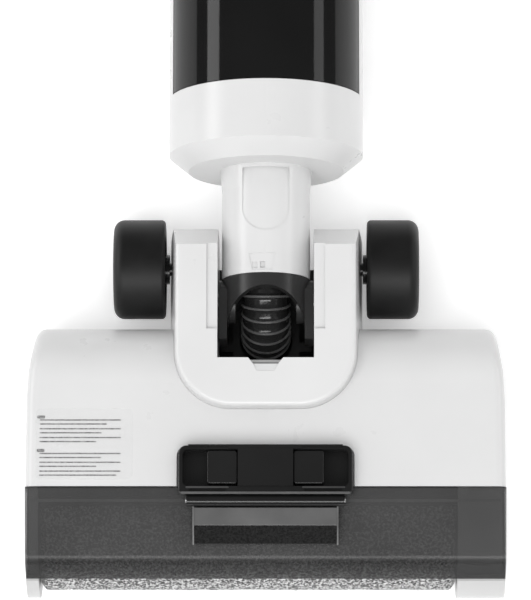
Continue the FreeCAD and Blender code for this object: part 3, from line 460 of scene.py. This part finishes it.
def hose_rings():
    """Grey rings where the wound wire lifts the wall; their grey is a painted highlight of the light along each
    crest.
    """
    section, ring_radius, thick = 14, 14.2, 0.8
    verts, faces = [], []
    for turn in range(int(HOSE_LENGTH / HOSE_PITCH)):
        (y, z), (dy, dz) = hose_frame(FIRST_RING + turn * HOSE_PITCH)
        first = len(verts)
        for j in range(HOSE_AROUND):
            a = 2 * math.pi * j / HOSE_AROUND
            for k in range(section):
                b = 2 * math.pi * k / section
                radius = ring_radius + thick * math.cos(b)
                shift = thick * math.sin(b)
                out_x = radius * math.cos(a)
                out_n = radius * math.sin(a)
                verts.append(at(out_x, y - dz * out_n + dy * shift, z + dy * out_n + dz * shift))
        for j in range(HOSE_AROUND):
            for k in range(section):
                j2, k2 = (j + 1) % HOSE_AROUND, (k + 1) % section
                corners = ((j, k), (j2, k), (j2, k2), (j, k2))
                faces.append(tuple(first + p * section + q for p, q in corners))
    rings = mesh_object("hose_rings", verts, faces, CREST_HIGHLIGHT_RUBBER)
    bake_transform(rings)


corrugated_hose()
hose_rings()


# ---------------------------------------------------------------- small surface details
def prism(name, outline, x0, x1, mat, body, tip_size=0.55):
    """Strip of a (y, z) outline in millimetres from x0 to x1, drawn in a little at its ends."""
    middle_y = sum(p[0] for p in outline) / len(outline)
    middle_z = sum(p[1] for p in outline) / len(outline)
    tip = min(0.8, (x1 - x0) * 0.35)
    near = 1 - 0.27 * (1 - tip_size)
    stations = [(x0, tip_size), (x0 + 0.4 * tip, near), (x0 + tip, 1.0)]
    stations += [(x1 - tip, 1.0), (x1 - 0.4 * tip, near), (x1, tip_size)]
    verts = []
    for x, size in stations:
        for y, z in outline:
            verts.append(at(x, middle_y + (y - middle_y) * size, middle_z + (z - middle_z) * size))
    faces = ring_faces(len(stations), len(outline), True)
    piece = mesh_object(name, verts, faces, mat, smooth=False)
    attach(piece, body)


def hood_top(y):
    """Height of the hood's upper face, which slopes evenly from its rear edge to its front."""
    rear_y, rear_z, front_z, depth = -52.0, 78.0, 84.0, 63.0
    return rear_z + (front_z - rear_z) * (rear_y - y) / depth


def label_bars():
    """Rows of plain grey bars in two blocks, with a small tag over each."""
    ink = trim("label_ink", 0.3, 0.6, 900.0, [(0.35, 0.12), (0.65, 0.34)], 0.1, 0.0001)
    first_row, block_step, pitch, pair_gap = -74.6, 20.4, 2.45, 0.45
    tag_depth, bar_depth, lift, thick = 1.9, 0.75, 0.14, 0.05
    rows = []
    for block in range(2):
        top = first_row - block * block_step
        rows.append((-135.2, -130.6, top + 2.4, tag_depth))
        for i in range(6):
            last = -100.0 + 3.0 * ((i * 7 + block * 4) % 5) if i % 2 else -85.6
            rows.append((-133.6, last, top - i * pitch - (i // 2) * pair_gap, bar_depth))
    for i, (x0, x1, y, depth) in enumerate(rows):
        outline = []
        for dy, dz in ((0, 0.0), (0, thick), (depth, thick), (depth, 0.0)):
            outline.append((y - dy, hood_top(y - dy) + lift + dz))
        prism("label_bar_%02d" % i, outline, x0, x1, ink, "head")


def cover_lines():
    """Pale rib along the rear of the smoked cover's inside, its paleness a painted highlight line, and three dark
    lugs in front of it.
    """
    # Painted highlight: the rib's pale grey makes up for the shade under the cover, so it shows as a light line.
    painted_highlight_grey = trim("cover_rib_painted_highlight", 0.4, 0.3, 120.0, [(0.3, 0.34), (0.7, 0.44)], 0.1, 0.0002)
    rear_rib = [(-122.2, 79.2), (-122.2, 79.9), (-123.8, 79.5), (-123.8, 78.8)]
    prism("cover_rear_rib", rear_rib, -138.5, 138.5, painted_highlight_grey, "cover")
    for i, x in enumerate((-97.3, -62.0, 80.3)):
        outline = [(-126.5, 76.4), (-126.5, 78.6), (-131.4, 77.5), (-131.4, 75.3)]
        prism("cover_lug_%d" % i, outline, x - 1.0, x + 1.0, MATERIALS["black_matte"], "cover")


def domed_disc(name, x, y, z, radius, side):
    """Small steel pin head of the cover, whose dome looks out along X."""
    around = 28
    stations = [(-0.5, 1.0), (0.35, 1.0), (0.65, 0.86), (0.82, 0.6), (0.9, 0.25)]
    verts = []
    for out, size in stations:
        for j in range(around):
            a = 2 * math.pi * j / around * side
            wide, tall = radius * size * math.cos(a), radius * size * math.sin(a)
            verts.append(at(x + side * out, y + wide, z + tall))
    faces = ring_faces(len(stations), around, True)
    piece = mesh_object(name, verts, faces, MATERIALS["steel"])
    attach(piece, "cover")


def latch_lips():
    """Narrow satin lips along the front edge of the latch frame."""
    stops = [(0.3, 0.03), (0.7, 0.06)]
    lip = trim("latch_lip", 0.08, 0.28, 50.0, stops, 0.08, 0.0002, IOR=1.46)
    low = [(-119.6, 91.6), (-119.6, 91.9), (-120.9, 91.2), (-120.9, 90.9)]
    prism("latch_front_lip", low, -50.0, 50.0, lip, "cover")
    upper = [(-116.4, 91.6), (-116.4, 91.95), (-117.5, 91.95), (-117.5, 91.6)]
    for side, tag in SIDES:
        x0, x1 = sorted((side * 21.6, side * 47.0))
        prism("latch_lip_" + tag, upper, x0, x1, lip, "cover")


def tongue_rails():
    """Thin grey lips down both sides of the latch tongue, their grey a painted highlight along its black edges."""
    # Painted highlight: the mid grey stands for the bright lines on the tongue's black edges.
    stops = [(0.3, 0.11), (0.7, 0.2)]
    painted_edge_highlight = trim("tongue_rail", 0.3, 0.22, 80.0, stops, 0.08, 0.0002, IOR=1.46)
    outline = [
        (-127.6, 85.2), (-127.6, 87.0), (-138.9, 86.6),
        (-149.5, 80.2), (-149.5, 79.0), (-138.7, 85.4),
    ]
    for side, tag in SIDES:
        x0, x1 = sorted((side * 42.05, side * 42.95))
        prism("tongue_rail_" + tag, outline, x0, x1, painted_edge_highlight, "cover", 0.97)


label_bars()
cover_lines()
latch_lips()
tongue_rails()
for side, tag in SIDES:
    domed_disc("latch_pin_" + tag, side * 46.5, -124.0, 87.2, 1.7, side)


# ---------------------------------------------------------------- stage, lights and camera
def studio():
    scene = bpy.context.scene
    floor_size, floor_drop = 12, 0.0004
    bpy.ops.mesh.primitive_plane_add(size=floor_size, location=(0, 0, -floor_drop))
    floor = bpy.context.object
    floor.name = "studio_floor"
    mat, tree, shader = new_material("floor_white", (0.93, 0.93, 0.93), 0.9)
    shader.inputs["Specular IOR Level"].default_value = 0.0
    grain = noise_at(tree, coordinates(tree), 40.0)
    tree.links.new(ramp(tree, grain, [(0.3, 0.92), (0.7, 0.94)]), shader.inputs["Base Color"])
    shader.inputs["Emission Color"].default_value = (1, 1, 1, 1)
    shader.inputs["Emission Strength"].default_value = 0.3
    repaint(floor, mat)
    world = bpy.data.worlds.new("studio")
    scene.world = world
    world.use_nodes = True
    tree = world.node_tree
    seen_by_surfaces, seen_in_gloss = 0.74, 0.16
    background = tree.nodes["Background"]
    path = tree.nodes.new("ShaderNodeLightPath")
    mix = tree.nodes.new("ShaderNodeMix")
    mix.data_type = "FLOAT"
    mix.inputs["A"].default_value = seen_by_surfaces
    mix.inputs["B"].default_value = seen_in_gloss
    tree.links.new(path.outputs["Is Glossy Ray"], mix.inputs["Factor"])
    tree.links.new(mix.outputs["Result"], background.inputs["Strength"])
    background.inputs["Color"].default_value = (1, 1, 1, 1)


def softbox(name, location, target, size, power, in_gloss=True, in_diffuse=True):
    light = bpy.data.lights.new(name, "AREA")
    light.shape = "RECTANGLE"
    light.size, light.size_y = size
    light.energy = power
    obj = bpy.data.objects.new(name, light)
    obj.location = location
    direction = Vector(target) - Vector(location)
    obj.rotation_euler = direction.to_track_quat("-Z", "Y").to_euler()
    obj.visible_glossy = in_gloss
    obj.visible_diffuse = in_diffuse
    bpy.context.scene.collection.objects.link(obj)


def photo_camera():
    """Long lens, steep from the front, a little to the right, the head's width kept level."""
    elevation, distance, to_the_right = math.radians(78.9), 3.0, 0.019
    target = at(0, 0, PIVOT_Z)
    toward = Vector((0, math.cos(elevation), -math.sin(elevation)))
    position = target - toward * distance + Vector((to_the_right, 0, 0))
    aim = at(-0.3, 1.4, PIVOT_Z)
    forward = (aim - position).normalized()
    right = (Vector((1, 0, 0)) - forward * forward.x).normalized()
    up = right.cross(forward)
    camera = bpy.data.cameras.new("photo_camera")
    camera.lens = 300.75
    camera.sensor_fit = "AUTO"
    camera.sensor_width = 36.0
    camera.clip_end = 50.0
    obj = bpy.data.objects.new("photo_camera", camera)
    bpy.context.scene.collection.objects.link(obj)
    rotation = Matrix((right, up, -forward)).transposed()
    obj.matrix_world = Matrix.Translation(position) @ rotation.to_4x4()
    bpy.context.scene.camera = obj


studio()
tank_middle = at(0, 380, 100)
softbox("strip_left", (-1.33, 0.0, 0.69), tank_middle, (2.4, 0.42), 14, in_diffuse=False)
softbox("strip_right", (1.33, 0.0, 0.69), tank_middle, (2.4, 0.34), 6.2, in_diffuse=False)
softbox("crest", (-0.1, -1.36, 1.34), at(0, -20, 60), (1.6, 0.42), 15, in_diffuse=False)
softbox("front", (-0.35, -1.4, 2.05), at(0, -40, 60), (2.0, 1.6), 32, in_gloss=False)
photo_camera()
bpy.context.scene.view_settings.view_transform = "Standard"
